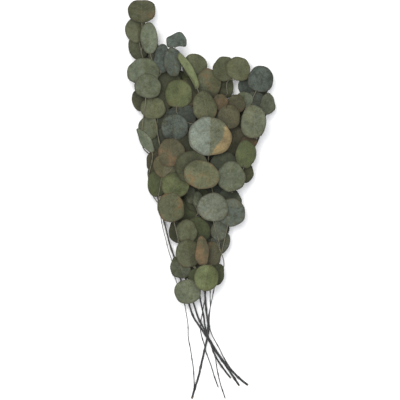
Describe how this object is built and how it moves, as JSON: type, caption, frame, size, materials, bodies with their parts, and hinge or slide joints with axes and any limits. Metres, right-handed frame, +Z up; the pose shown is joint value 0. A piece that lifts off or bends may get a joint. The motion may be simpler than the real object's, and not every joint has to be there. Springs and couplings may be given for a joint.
{
  "type": "dried eucalyptus bunch",
  "caption": "Bunch of dried round-leaved eucalyptus lying on its side, grey-green and tan leaves on dark woody stems that cross below the foliage",
  "frame": {"origin": "centre of the footprint of the whole bunch, on the surface that it lies on", "axes": "+Y runs from the cut stem ends to the leafy tips, +Z is up from the surface, +X is to the right when the bunch is looked down on"},
  "size_m": [0.2042, 0.551, 0.0805],
  "materials": {
    "stem": "matte",
    "olive": "matte",
    "grey_green": "matte",
    "blue_grey": "matte",
    "green": "matte",
    "tan": "matte",
    "pale": "matte"
  },
  "bodies": {
    "root": {"stem_1": "stem", "stem_2": "stem", "stem_3": "stem", "stem_4": "stem", "stem_5": "stem", "stem_6": "stem", "stem_7": "stem", "stem_8": "stem", "shoot_01": "olive", "shoot_02": "grey_green", "shoot_03": "grey_green", "shoot_04": "blue_grey", "shoot_05": "green", "shoot_06": "olive", "shoot_07": "olive", "shoot_08": "blue_grey", "shoot_09": "grey_green", "shoot_10": "grey_green", "shoot_11": "tan", "shoot_12": "pale", "shoot_13": "tan", "shoot_14": "blue_grey", "shoot_15": "olive", "shoot_16": "grey_green", "shoot_17": "tan", "shoot_18": "olive", "shoot_19": "grey_green", "shoot_20": "green", "shoot_21": "green", "shoot_22": "olive", "shoot_23": "grey_green", "shoot_24": "pale", "shoot_25": "blue_grey", "shoot_26": "olive", "shoot_27": "tan", "shoot_28": "grey_green", "shoot_29": "green", "shoot_30": "olive", "shoot_31": "grey_green", "shoot_32": "olive", "shoot_33": "blue_grey", "shoot_34": "olive", "shoot_35": "grey_green", "shoot_36": "green", "shoot_37": "grey_green", "shoot_38": "olive", "shoot_39": "green", "shoot_40": "olive", "shoot_41": "grey_green", "shoot_42": "blue_grey", "shoot_43": "olive", "shoot_44": "grey_green", "shoot_45": "olive", "shoot_46": "grey_green", "shoot_47": "olive", "shoot_48": "grey_green", "shoot_49": "green", "shoot_50": "blue_grey", "shoot_51": "olive", "shoot_52": "grey_green"}
  },
  "joints": []
}
